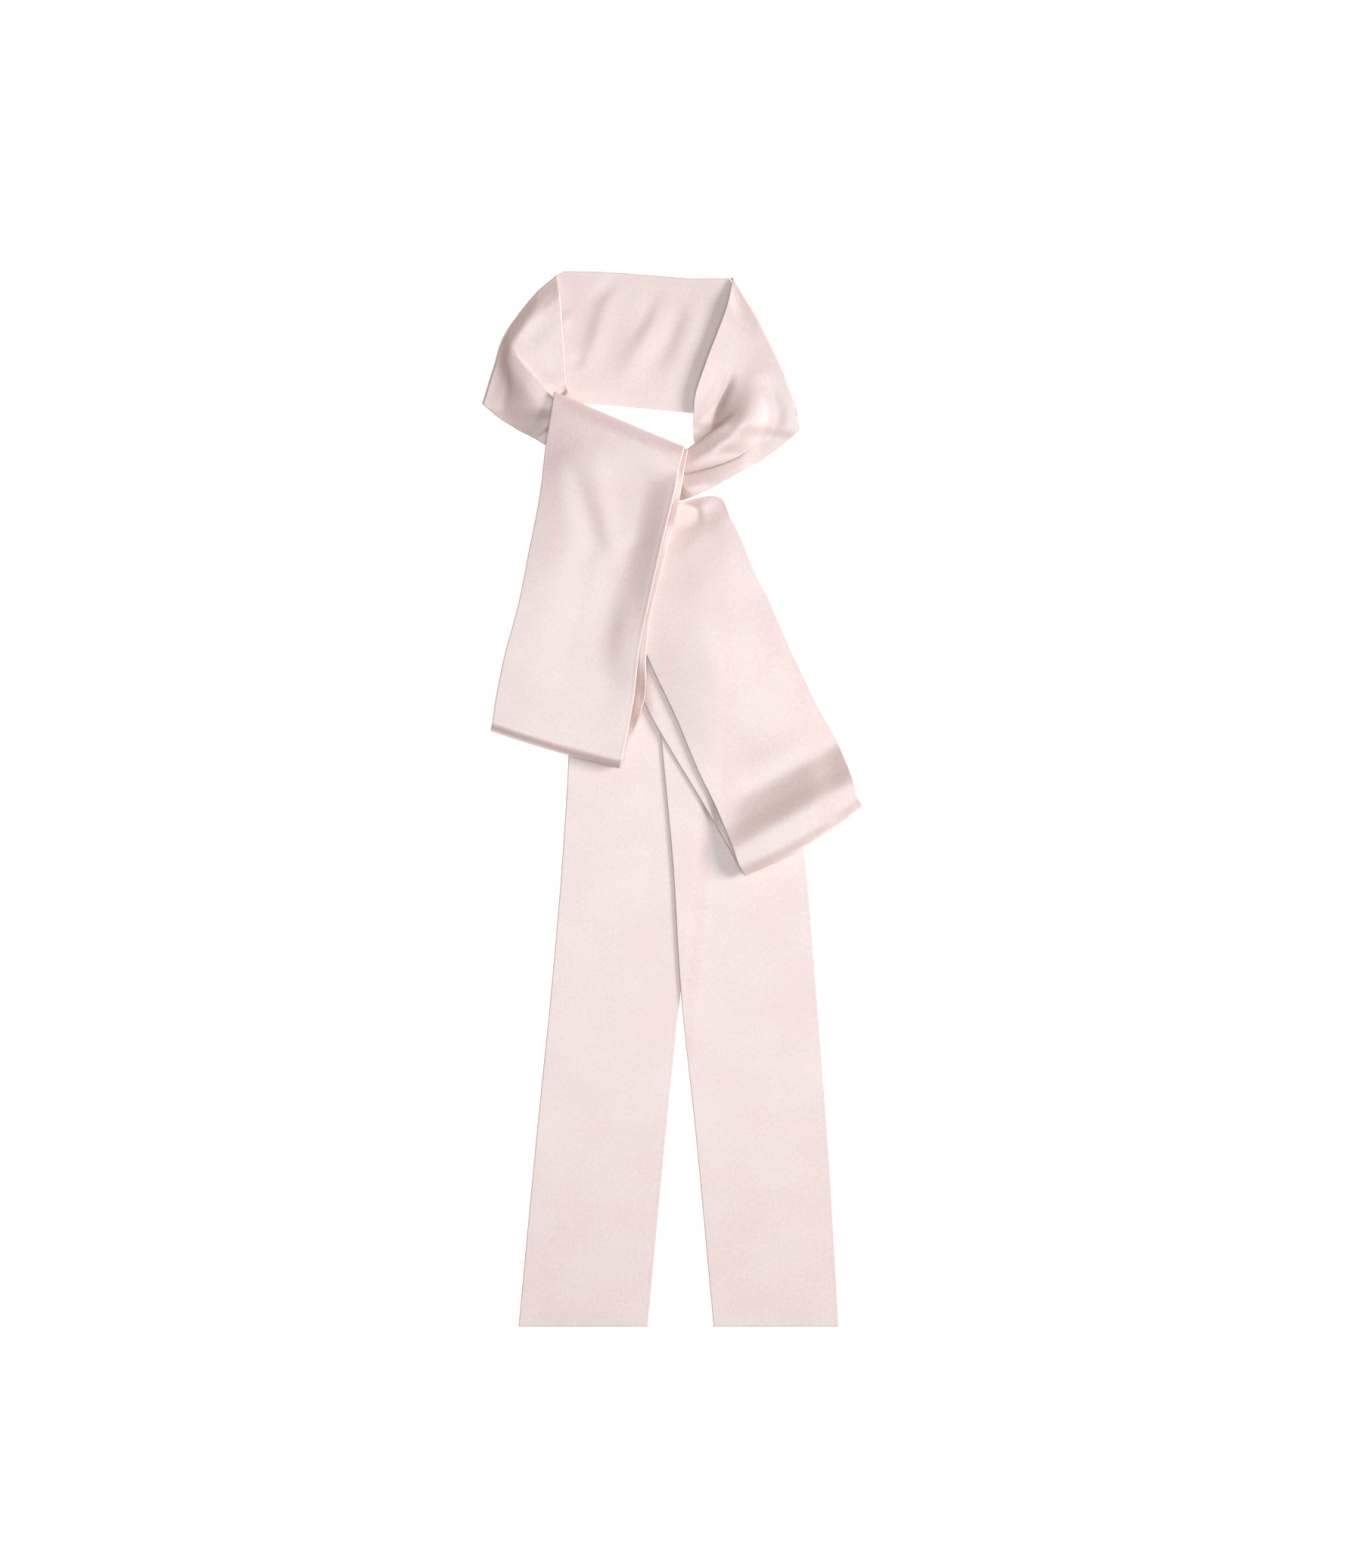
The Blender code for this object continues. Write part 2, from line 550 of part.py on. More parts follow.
def add_knot_core(ground):
    """The gathered layers inside the knot as one rounded lump, flat where it rests."""
    lump = bmesh.new()
    bmesh.ops.create_uvsphere(lump, u_segments=CORE_SIDES, v_segments=CORE_RINGS, radius=1.0)
    lower = [vert for vert in lump.verts if vert.co.z < BELOW_MIDDLE]
    bmesh.ops.delete(lump, geom=lower, context="VERTS")
    bmesh.ops.holes_fill(lump, edges=lump.edges[:])
    size = (CORE_HALF_LENGTH * MM, CORE_HALF_WIDTH * MM, CORE_HEIGHT * MM)
    bmesh.ops.scale(lump, vec=size, verts=lump.verts[:])
    place = (np.array([*CORE_MIDDLE, 0.0]) - PLAN_MIDDLE) * MM
    bmesh.ops.translate(lump, vec=place, verts=lump.verts[:])
    mesh = bpy.data.meshes.new("knot_core")
    lump.to_mesh(mesh)
    lump.free()
    add_object("knot_core", mesh, SATIN_SHADED)

    around = np.linspace(0.0, 2.0 * np.pi, CORE_SIDES + 1)
    out = np.linspace(0.0, 1.0, CORE_RINGS)[:, None]
    x = CORE_MIDDLE[0] + CORE_HALF_LENGTH * out * np.cos(around)
    y = CORE_MIDDLE[1] + CORE_HALF_WIDTH * out * np.sin(around)
    z = CORE_HEIGHT * np.sqrt(1.0 - out ** 2) + 0.0 * around
    ground.lay([np.stack([x, y, z], axis=2)])


def build():
    for item in list(bpy.data.objects):
        bpy.data.objects.remove(item, do_unlink=True)
    ground = Ground()
    add_neck_back(ground)
    add_tail("tail_left", TAIL_LEFT_ROWS, ground)
    add_tail("tail_right", TAIL_RIGHT_ROWS, ground)
    add_loop_right(ground)
    add_neck_side("neck_left", NECK_LEFT_FOLD, NECK_LEFT_ROWS, NECK_LEFT_STEPS, ground)
    add_neck_side("neck_right", NECK_RIGHT_FOLD, NECK_RIGHT_ROWS, NECK_RIGHT_STEPS, ground)
    add_knot_core(ground)
    add_loop_left(ground)


build()
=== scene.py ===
# Satin neck scarf laid face up: one long doubled strip, wound once round the neck and tied in a loose bow.
# Sizes are in mm. From above, +Y is toward the back of the neck, +X is right, +Z is up off the table.
import math
import bpy
import numpy as np
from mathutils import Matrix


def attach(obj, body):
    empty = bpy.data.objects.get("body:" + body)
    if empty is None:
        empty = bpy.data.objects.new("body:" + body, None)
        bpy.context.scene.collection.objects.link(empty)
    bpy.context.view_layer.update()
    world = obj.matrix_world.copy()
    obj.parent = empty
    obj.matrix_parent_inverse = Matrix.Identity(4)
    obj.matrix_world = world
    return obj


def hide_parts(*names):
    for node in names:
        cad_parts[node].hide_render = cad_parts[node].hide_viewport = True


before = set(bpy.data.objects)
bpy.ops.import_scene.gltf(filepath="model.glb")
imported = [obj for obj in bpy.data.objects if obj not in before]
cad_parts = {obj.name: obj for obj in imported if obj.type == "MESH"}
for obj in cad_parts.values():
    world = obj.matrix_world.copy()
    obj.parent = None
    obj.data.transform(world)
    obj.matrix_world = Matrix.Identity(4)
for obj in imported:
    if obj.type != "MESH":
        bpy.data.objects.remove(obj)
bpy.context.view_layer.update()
print("frame loaded")

mm = 0.001
planMiddle = np.array([0.209, 0.308, 0.0])    # middle of the tables' plan, which is the origin

strip = {
    "width": 70.0,
    "thickness": 0.8,       # both layers of satin and the air between them
    "air": 0.3,             # between one stretch and the next
    "cell": 1.5,            # size of the mesh cells
    "pleatCell": 0.6,       # and of a pleated stretch's
    "edgeCells": (0.0, 0.1, 0.28, 0.6, 1.1),    # closer cell lines in from every edge
    "evenFrom": 2.0,        # where the even cells start
    "lineGap": 0.4,         # least distance between an even line and one of the seam's
    "edgeRound": 0.4,       # how far in from an edge the cloth reaches its full thickness
    "seamInset": 2.3,       # the seam inside the right edge shows as a faint line
    "seamSink": 0.08,       # share of the thickness lost there
    "seamWidth": 0.5,
    "seamCells": (-0.6, -0.3, 0.0, 0.3, 0.6),
    "settle": 0.35,         # how softly a trough stops where the cloth lies on something
}

table = {
    "left": -130.0, "near": -315.0, "columns": 260, "rows": 640,    # height map, 1 mm cells
    "finer": 3,         # steps within a mesh cell when a stretch is marked on the map
    "fallDepth": 12.0,  # mm that the slopes beside a piece may run down
}
# how cloth comes down beside what it lies on: steepest slope, cells the ground is widened by
# before it is smoothed, and cells to each side of the smoothing, which is done twice
limp = {"slope": 0.33, "widen": 4, "smooth": 2}
springy = {"slope": 0.16, "widen": 6, "smooth": 3}
taut = {"slope": 0.06, "widen": 8, "smooth": 4}
# the bare table, an air gap low so that the first cloth touches it
table["top"] = np.full((table["rows"], table["columns"]), -strip["air"])


# curves and grids

def smoothCurve(values, knots, places):
    values = np.asarray(values, float)
    knots = np.asarray(knots, float)
    tall = (-1,) + (1,) * (values.ndim - 1)
    gaps = np.diff(knots).reshape(tall)
    slopes = np.diff(values, axis=0) / gaps
    tangents = np.empty_like(values)
    tangents[0] = slopes[0]
    tangents[-1] = slopes[-1]
    if len(knots) > 2:
        before = gaps[:-1]
        after = gaps[1:]
        inner = (slopes[:-1] * after + slopes[1:] * before) / (before + after)
        turning = slopes[:-1, ..., 2] * slopes[1:, ..., 2] <= 0.0
        inner[..., 2] = np.where(turning, 0.0, inner[..., 2])    # heights never overshoot
        tangents[1:-1] = inner
    low = np.clip(np.searchsorted(knots, places, side="right") - 1, 0, len(knots) - 2)
    size = gaps[low]
    share = (places - knots[low]).reshape(tall) / size
    return (
        values[low] * (1.0 + 2.0 * share) * (1.0 - share) ** 2
        + tangents[low] * size * share * (1.0 - share) ** 2
        + values[low + 1] * share ** 2 * (3.0 - 2.0 * share)
        + tangents[low + 1] * size * share ** 2 * (share - 1.0)
    )


def ease(share):
    return share ** 2 * (3.0 - 2.0 * share)


def runLengths(points):
    steps = np.linalg.norm(np.diff(points[:, :2], axis=0), axis=1)
    return np.concatenate([[0.0], np.cumsum(steps)])


def sectionNet(rows):
    # each row: middle x, middle y, share of the width, turn, then the rise at even steps from left to right
    net = []
    for x, y, share, turn, *rises in rows:
        half = strip["width"] * share / 2.0
        wayX = math.cos(math.radians(turn)) * half
        wayY = math.sin(math.radians(turn)) * half
        steps = np.linspace(-1.0, 1.0, len(rises))
        net.append([(x + wayX * step, y + wayY * step, rise) for step, rise in zip(steps, rises)])
    return np.array(net)


def edgePlaces(length, cell, inset=()):
    # even cells, with closer ones where the cloth's edge is rounded and beside the seam
    near = list(strip["edgeCells"])
    start = strip["evenFrom"]
    count = max(int(round((length - 2.0 * start) / cell)), 1)
    even = np.linspace(start, length - start, count + 1)
    far = [length - place for place in near]
    seam = [length - strip["seamInset"] + shift for shift in inset]
    even = [place for place in even if all(abs(place - line) > strip["lineGap"] for line in seam)]
    return np.array(sorted(near + even + seam + far))


def fillNet(net, cell, seam):
    # finer grid through a net of sections, with its distance along and across in mm
    middle = runLengths(net[:, net.shape[1] // 2])
    along = edgePlaces(middle[-1], cell)
    net = smoothCurve(net, middle, along)
    widths = np.linalg.norm(np.diff(net, axis=1), axis=2).mean(axis=0)
    knots = np.concatenate([[0.0], np.cumsum(widths)])
    across = edgePlaces(knots[-1], cell, strip["seamCells"] if seam else ())
    grid = np.swapaxes(smoothCurve(np.swapaxes(net, 0, 1), knots, across), 0, 1)
    return grid, along, across


def refine(grid, steps):
    for axis in (0, 1):
        last = grid.shape[axis] - 1
        places = np.linspace(0, last, last * steps + 1)
        low = np.minimum(places.astype(int), last - 1)
        share = (places - low).reshape((-1, 1, 1) if axis == 0 else (1, -1, 1))
        grid = np.take(grid, low, axis) * (1.0 - share) + np.take(grid, low + 1, axis) * share
    return grid


def gridNormals(grid):
    # up where rows run toward -Y and columns toward +X
    normal = np.cross(np.gradient(grid, axis=0), np.gradient(grid, axis=1))
    return normal / np.maximum(np.linalg.norm(normal, axis=2, keepdims=True), 1e-9)


# laying cloth on what is already there

def mapCells(points):
    column = np.rint(points[..., 0] - table["left"]).astype(int)
    row = np.rint(points[..., 1] - table["near"]).astype(int)
    return row, column


def keepOnMap(grid):
    half = gridNormals(grid) * strip["thickness"] / 2.0
    for surface in (grid + half, grid - half):
        fine = refine(surface, table["finer"])
        np.maximum.at(table["top"], mapCells(fine), fine[..., 2])


def drapeBase(hang):
    height = table["top"].copy()
    for step in range(hang["widen"] + int(table["fallDepth"] / hang["slope"])):
        fall = 0.0 if step < hang["widen"] else hang["slope"]
        wide = np.pad(height, 1, mode="edge")
        straight = np.maximum(
            np.maximum(wide[:-2, 1:-1], wide[2:, 1:-1]),
            np.maximum(wide[1:-1, :-2], wide[1:-1, 2:]),
        )
        corner = np.maximum(
            np.maximum(wide[:-2, :-2], wide[2:, 2:]),
            np.maximum(wide[:-2, 2:], wide[2:, :-2]),
        )
        height = np.maximum(height, np.maximum(straight - fall, corner - fall * 2 ** 0.5))
    reach = hang["smooth"]
    for axis in (0, 1, 0, 1):
        width = [(reach, reach) if k == axis else (0, 0) for k in (0, 1)]
        wide = np.pad(height, width, mode="edge")
        places = np.arange(height.shape[axis])
        height = np.mean([np.take(wide, places + k, axis) for k in range(2 * reach + 1)], axis=0)
    return height


def readMap(height, points):
    x = points[..., 0] - table["left"]
    y = points[..., 1] - table["near"]
    column = np.floor(x).astype(int)
    row = np.floor(y).astype(int)
    right = x - column
    away = y - row
    near = height[row, column] * (1.0 - right) + height[row, column + 1] * right
    far = height[row + 1, column] * (1.0 - right) + height[row + 1, column + 1] * right
    return near * (1.0 - away) + far * away


def alongLine(grid, startX, startY, endX, endY, bow):
    # share of the way along a bowed line, distance to its left, and the direction to its left
    way = np.array([endX - startX, endY - startY])
    length = np.linalg.norm(way)
    way /= length
    left = np.array([-way[1], way[0]])
    offset = grid[..., :2] - np.array([startX, startY])
    share = offset @ way / length
    side = offset @ left - bow * 4.0 * share * (1.0 - share)
    return share, side, left


def creaseRise(grid, creases):
    # each crease: start x, y, end x, y, bow to its left, half width, height (below 0 is a trough)
    rise = np.zeros(grid.shape[:2])
    endFade = 1.6       # higher fades sooner toward both ends
    for *line, width, height in creases:
        share, side = alongLine(grid, *line)[:2]
        fade = np.clip(1.0 - (2.0 * share - 1.0) ** 2, 0.0, 1.0) ** endFade
        rise += height * fade * np.exp(-(side / width) ** 2)
    return rise


def foldPleats(grid, pleats):
    # cloth on a pleat's left folds over the cloth on its right, less and less toward both ends;
    # each pleat: start x, y, end x, y, bow to its left, half width, fold, step up, share that fades in
    # and share that fades out
    rise = np.zeros(grid.shape[:2])
    moved = grid.copy()
    stepReach = 5.0     # half widths over which the step up dies out
    for *line, width, fold, step, fadeIn, fadeOut in pleats:
        share, side, left = alongLine(grid, *line)
        fade = ease(np.clip(np.minimum(share / fadeIn, (1.0 - share) / fadeOut), 0.0, 1.0))
        near = np.exp(-(side / width) ** 2)
        moved[..., :2] -= left * (fade * fold * side * near)[..., None]
        rise += step * fade * np.tanh(2.0 * side / width) * np.exp(-(side / width / stepReach) ** 2)
    return moved, rise


def rippleRise(along, across, ripples):
    # each ripple: direction in degrees, wavelength, height, shift
    rise = np.zeros((len(along), len(across)))
    for turn, wavelength, height, shift in ripples:
        x = math.cos(math.radians(turn)) * across[None, :]
        y = math.sin(math.radians(turn)) * along[:, None]
        rise += height * np.sin((x + y) * 2.0 * math.pi / wavelength + shift)
    return rise


def layDown(net, hang=limp, creases=(), ripples=(), seam=True, pleats=()):
    grid, along, across = fillNet(net, strip["pleatCell" if pleats else "cell"], seam)
    rise = grid[..., 2] + creaseRise(grid, creases) + rippleRise(along, across, ripples)
    grid, step = foldPleats(grid, pleats)
    rise += step
    rise = strip["settle"] * np.logaddexp(0.0, rise / strip["settle"])
    base = readMap(drapeBase(hang), grid)
    grid[..., 2] = base + strip["air"] + strip["thickness"] / 2.0 + rise
    return grid, along, across


def sideways(line, toward):
    along = np.gradient(line[:, :2], runLengths(line), axis=0)
    along /= np.linalg.norm(along, axis=1, keepdims=True)
    side = np.stack([along[:, 1], -along[:, 0]], axis=1)
    if np.dot(side.sum(axis=0), np.asarray(toward) - line[:, :2].mean(axis=0)) < 0.0:
        side = -side
    return along, side


def moveSideways(line, distance, toward):
    moved = line.copy()
    moved[:, :2] += sideways(line, toward)[1] * distance
    return moved


def rollUnder(edge, outward, low, reach, arc=180.0, along=0.0, slant=0.0, steps=14):
    # rows that carry an edge outward, down and back under it, as far as the low height
    fall = (edge[:, 2:3] - low[:, None]) / 2.0
    rows = []
    for step in range(1, steps + 1):
        angle = math.radians(arc) * step / steps
        row = edge.copy()
        row[:, :2] += outward * reach * math.sin(angle)
        row[:, :2] -= along * slant * reach * angle
        row[:, 2:3] -= fall * (1.0 - math.cos(angle))
        rows.append(row)
    return np.array(rows)


def faceUp(grid, across):
    if gridNormals(grid)[..., 2].sum() < 0.0:
        return grid[:, ::-1], across[-1] - across[::-1]
    return grid, across


# meshes

def newPiece(name, points, faces, place, material):
    # a smooth mesh that keeps where each of its points lies on the strip
    mesh = bpy.data.meshes.new(name)
    mesh.from_pydata(points.tolist(), [], faces)
    onStrip = mesh.attributes.new("onStrip", "FLOAT_VECTOR", "POINT")
    onStrip.data.foreach_set("vector", place.ravel())
    mesh.shade_smooth()
    mesh.materials.append(material)
    piece = bpy.data.objects.new(name, mesh)
    bpy.context.scene.collection.objects.link(piece)
    return piece


def clothPiece(name, node, grid, along, across, material):
    # closed wall round the grid, with rounded edges and a faint seam line inside its right edge
    rows, columns = grid.shape[:2]
    fromEdge = np.minimum(
        np.minimum(across, across[-1] - across)[None, :],
        np.minimum(along, along[-1] - along)[:, None],
    )
    inside = np.clip(fromEdge / strip["edgeRound"], 0.0, 1.0)
    full = np.sqrt(np.clip(1.0 - (1.0 - inside) ** 2, 0.0, 1.0))
    fromSeam = across[-1] - across - strip["seamInset"]
    full = full * (1.0 - strip["seamSink"] * np.exp(-(fromSeam / strip["seamWidth"]) ** 2))[None, :]
    half = gridNormals(grid) * (full * strip["thickness"] / 2.0)[..., None]
    upper = np.arange(rows * columns).reshape(rows, columns)
    rim = np.ones((rows, columns), bool)
    rim[1:-1, 1:-1] = False
    lower = upper.copy()
    lower[~rim] = rows * columns + np.arange((~rim).sum())
    points = np.concatenate([(grid + half).reshape(-1, 3), (grid - half)[~rim]])
    points = (points - planMiddle) * mm
    faces = [np.stack([upper[:-1, :-1], upper[1:, :-1], upper[1:, 1:], upper[:-1, 1:]], axis=2)]
    faces.append(np.stack([lower[:-1, 1:], lower[1:, 1:], lower[1:, :-1], lower[:-1, :-1]], axis=2))
    faces = np.concatenate([part.reshape(-1, 4) for part in faces])
    place = np.zeros((rows, columns, 3))
    place[..., 0] = across[None, :] * mm
    place[..., 1] = along[:, None] * mm
    place = np.concatenate([place.reshape(-1, 3), place[~rim]])
    piece = newPiece(name, points, faces.tolist(), place, material)
    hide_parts(node)
    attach(piece, "root")
    print(name, len(faces), "faces")


# satin

satinLook = {
    "light": (0.875, 0.65, 0.61),
    "deep": (0.825, 0.585, 0.545),
    "roughness": 0.42,
    "shine": 2.6,               # index of refraction, which sets how much it mirrors
    "sheen": 0.15,
    "threadSpacing": 1.5,       # mm between the grain's fine lines
    "threadStretch": 1.4,       # and how much longer than wide its marks are
    "grainBump": 0.06,
    "bumpStrength": 0.25,
    "paintedInnerShade": 0.98,         # painted shade: the stretches that lie inside are a little darker
}
grain = {
    "mottleScale": 28.0,
    "toneRange": (0.86, 1.14),  # sum of lines and mottle that runs from the deep to the light colour
}


def link(tree, start, startName, end, endName):
    tree.links.new(start.outputs[startName], end.inputs[endName])


def newGroup(name, inputs, outputs):
    group = bpy.data.node_groups.new(name, "ShaderNodeTree")
    for label, kind in inputs:
        group.interface.new_socket(label, in_out="INPUT", socket_type=kind)
    for label, kind in outputs:
        group.interface.new_socket(label, in_out="OUTPUT", socket_type=kind)
    return group, group.nodes.new("NodeGroupInput"), group.nodes.new("NodeGroupOutput")


def makeSatinGrain():
    # fine lines along the strip and a soft mottle, both in the cloth's own coordinates
    group, given, put = newGroup(
        "satinGrain",
        [("Place", "NodeSocketVector"), ("Spacing", "NodeSocketFloat"), ("Stretch", "NodeSocketFloat")],
        [("Height", "NodeSocketFloat"), ("Tone", "NodeSocketFloat")],
    )
    nodes = group.nodes
    perSpacing = nodes.new("ShaderNodeMath")
    perSpacing.operation = "DIVIDE"
    perSpacing.inputs[0].default_value = 1.0
    link(group, given, "Spacing", perSpacing, 1)
    alongScale = nodes.new("ShaderNodeMath")
    alongScale.operation = "DIVIDE"
    link(group, perSpacing, 0, alongScale, 0)
    link(group, given, "Stretch", alongScale, 1)
    scale = nodes.new("ShaderNodeCombineXYZ")
    link(group, perSpacing, 0, scale, 0)
    link(group, alongScale, 0, scale, 1)
    spread = nodes.new("ShaderNodeVectorMath")
    spread.operation = "MULTIPLY"
    link(group, given, "Place", spread, 0)
    link(group, scale, 0, spread, 1)
    lines = nodes.new("ShaderNodeTexNoise")
    lines.inputs["Scale"].default_value = 1.0 / mm
    lines.inputs["Detail"].default_value = 2.0
    link(group, spread, 0, lines, "Vector")
    link(group, lines, 0, put, "Height")
    mottle = nodes.new("ShaderNodeTexNoise")
    mottle.inputs["Scale"].default_value = grain["mottleScale"]
    mottle.inputs["Detail"].default_value = 3.0
    link(group, given, "Place", mottle, "Vector")
    both = nodes.new("ShaderNodeMath")
    both.operation = "ADD"
    link(group, lines, 0, both, 0)
    link(group, mottle, 0, both, 1)
    strong = nodes.new("ShaderNodeMapRange")
    strong.inputs["From Min"].default_value = grain["toneRange"][0]
    strong.inputs["From Max"].default_value = grain["toneRange"][1]
    link(group, both, 0, strong, "Value")
    link(group, strong, "Result", put, "Tone")
    return group


def makeSatin(name, weaveGroup, look, shade):
    material = bpy.data.materials.new(name)
    material.use_nodes = True
    tree = material.node_tree
    shader = tree.nodes["Principled BSDF"]
    shader.inputs["Roughness"].default_value = look["roughness"]
    shader.inputs["IOR"].default_value = look["shine"]
    shader.inputs["Specular IOR Level"].default_value = 0.5
    shader.inputs["Sheen Weight"].default_value = look["sheen"]
    place = tree.nodes.new("ShaderNodeAttribute")
    place.attribute_name = "onStrip"
    weave = tree.nodes.new("ShaderNodeGroup")
    weave.node_tree = weaveGroup
    weave.inputs["Spacing"].default_value = look["threadSpacing"]
    weave.inputs["Stretch"].default_value = look["threadStretch"]
    link(tree, place, "Vector", weave, "Place")
    colours = tree.nodes.new("ShaderNodeMix")
    colours.data_type = "RGBA"
    # the shade factor darkens both colours, painted shade for the stretches that lie inside
    colours.inputs["A"].default_value = (*[value * shade for value in look["deep"]], 1.0)
    colours.inputs["B"].default_value = (*[value * shade for value in look["light"]], 1.0)
    link(tree, weave, "Tone", colours, 0)
    tree.links.new(colours.outputs[2], shader.inputs["Base Color"])
    bump = tree.nodes.new("ShaderNodeBump")
    bump.inputs["Strength"].default_value = look["bumpStrength"]
    bump.inputs["Distance"].default_value = look["grainBump"] * mm
    link(tree, weave, "Height", bump, "Height")
    link(tree, bump, "Normal", shader, "Normal")
    return material


satinGrain = makeSatinGrain()
blushSatin = makeSatin("blushSatin", satinGrain, satinLook, 1.0)
# the same satin painted darker, as shade, for the stretches that lie inside or under others
shadedInnerSatin = makeSatin("shadedInnerSatin", satinGrain, satinLook, satinLook["paintedInnerShade"])
print("satin made")


# the back of the neck and its folded sides

neck = {
    "middle": (-15.0, 245.0),
    "seamGap": 0.5,
    "backLength": 150.0,    # lengths of the flat strip that each stretch takes
    "leftLength": 60.0,
    "rightLength": 80.0,
    "backPoints": 6,
    "backLift": 1.7,        # the back's left upper corner reaches up under the side
    "foldFade": 9.0,        # how far from a side fold the cloth comes down from its height
    # back: x and y of the upper edge, then of the lower edge
    "backRows": ((-36.9, 290.2, -46.5, 217.5), (-16.0, 288.8, -20.2, 215.4), (8.1, 286.9, 8.1, 212.7)),
    "backCreases": (
        (-34.0, 286.0, -50.0, 232.0, 2.0, 5.5, 0.9),
        (-29.0, 290.0, -47.0, 272.0, 1.0, 3.5, -0.8),
        (-4.0, 281.0, -34.0, 222.0, 3.0, 7.5, 0.9),
        (-7.0, 286.0, -24.0, 250.0, 1.0, 4.0, -0.6),
        (18.0, 286.0, -4.0, 220.0, 2.0, 9.0, 0.9),
        (6.0, 278.0, -14.0, 232.0, 2.0, 4.0, -0.6),
        (-50.0, 246.0, -55.0, 236.0, 0.0, 3.0, -0.6),
        (-57.0, 270.0, -60.0, 258.0, 0.0, 3.0, 0.5),
    ),
    # side folds from the inner edge down: x, y, radius, slant along the fold as the cloth turns
    "leftFold": (
        (-62.8, 289.3, 1.0, 1.1), (-74.4, 279.2, 1.6, 1.0), (-90.4, 259.4, 1.8, 0.8),
        (-98.5, 237.9, 1.3, 0.5), (-104.8, 217.5, 1.0, 0.4),
    ),
    "rightFold": (
        (33.6, 287.0, 1.2, 0.6), (49.4, 261.7, 2.4, 0.6), (60.6, 240.0, 2.7, 0.6),
        (69.0, 221.5, 2.7, 0.6), (72.1, 205.0, 2.2, 0.6),
    ),
    # sections from the fold to the knot, as x, y and rise; left: inner edge, dish, pleat, flap, lower edge
    "leftRows": (
        ((-61.5, 275.0, 3.2), (-75.2, 262.9, 3.8), (-88.2, 247.2, 4.0),
         (-91.5, 227.9, 1.8), (-96.5, 210.4, 1.0)),
        ((-60.2, 258.3, 3.2), (-71.0, 248.3, 3.8), (-83.4, 238.5, 4.6),
         (-87.5, 221.6, 2.8), (-90.2, 206.2, 1.6)),
        ((-59.0, 241.7, 3.2), (-66.0, 237.1, 3.8), (-76.2, 232.7, 5.0),
         (-81.0, 217.5, 4.0), (-83.5, 202.1, 2.6)),
        ((-58.5, 230.4, 3.5), (-61.9, 229.2, 3.9), (-69.3, 226.8, 4.9),
         (-73.5, 212.5, 4.6), (-76.0, 198.3, 3.4)),
        ((-57.4, 223.8, 3.6), (-60.2, 223.6, 3.9), (-64.2, 221.6, 4.4),
         (-67.3, 208.3, 4.4), (-69.0, 194.2, 3.4)),
        ((-45.5, 213.5, 2.4), (-48.0, 211.2, 2.4), (-51.0, 207.6, 2.6),
         (-54.4, 199.2, 2.6), (-56.0, 191.7, 2.4)),
    ),
    "leftCreases": (
        (-58.0, 288.0, -93.0, 243.0, -3.4, 3.0, 0.5),
        (-70.0, 266.0, -82.0, 244.0, 0.0, 6.0, -0.4),
        (-65.0, 218.5, -55.5, 225.0, -1.0, 1.6, 0.5),
        (-64.5, 221.5, -57.5, 228.0, -1.0, 1.8, -0.9),
    ),
    "leftPleats": (
        (-57.0, 210.4, -91.0, 255.0, 3.2, 3.0, 2.5, 1.6, 0.05, 0.6),
    ),
    # right: inner edge, valley, ridge, second pleat, lower edge
    "rightRows": (
        ((30.6, 273.8, 4.2), (42.7, 247.5, 3.8), (54.4, 228.8, 4.4),
         (63.4, 211.2, 4.0), (65.6, 198.8, 3.2)),
        ((24.6, 256.7, 4.4), (36.5, 230.8, 3.7), (46.5, 216.2, 5.5),
         (53.9, 200.9, 3.6), (56.5, 191.4, 3.0)),
        ((18.3, 240.0, 4.6), (28.6, 216.0, 3.0), (36.0, 200.8, 7.0),
         (38.9, 189.5, 4.8), (41.5, 181.4, 3.5)),
        ((12.1, 220.0, 4.0), (20.2, 205.0, 2.2), (25.6, 193.3, 6.0),
         (27.1, 185.0, 4.0), (29.6, 174.6, 2.8)),
        ((11.5, 202.5, 2.6), (14.4, 198.6, 1.2), (16.9, 188.8, 4.2),
         (17.6, 181.2, 3.3), (19.4, 169.6, 2.4)),
        ((9.4, 193.8, 2.6), (9.2, 191.4, 2.0), (7.7, 183.8, 3.4), (6.7, 177.0, 3.0), (4.4, 163.8, 1.9)),
        ((-1.0, 191.4, 2.4), (-1.6, 188.9, 2.4), (-3.1, 181.8, 2.8),
         (-4.2, 176.0, 2.6), (-6.0, 167.5, 1.8)),
    ),
    "rightCreases": (
        (-4.0, 186.0, 34.5, 239.0, -5.0, 3.9, -3.0),
        (49.0, 234.0, 55.0, 204.0, 2.0, 6.0, -1.0),
        (42.0, 190.0, 62.0, 218.0, -2.0, 5.0, -0.9),
    ),
    "rightPleats": (
        (36.0, 214.0, -5.0, 182.4, 1.6, 2.8, 2.4, 2.0, 0.5, 0.05),
        (50.0, 198.0, 0.0, 175.5, 4.5, 3.0, 2.5, 2.2, 0.8, 0.05),
    ),
}


def foldLine(fold, over):
    # where the cloth starts to turn at a folded side: over it (1) or beneath it (-1)
    along, side = sideways(fold, neck["middle"])
    radius = fold[:, 2:3]
    line = np.zeros((len(fold), 3))
    line[:, :2] = fold[:, :2] + side * (radius + strip["thickness"] / 2.0)
    line[:, :2] += along * over * fold[:, 3:4] * radius * math.pi / 2.0
    line[:, 2] = 2.0 * fold[:, 2] - strip["thickness"] - strip["air"]
    return line


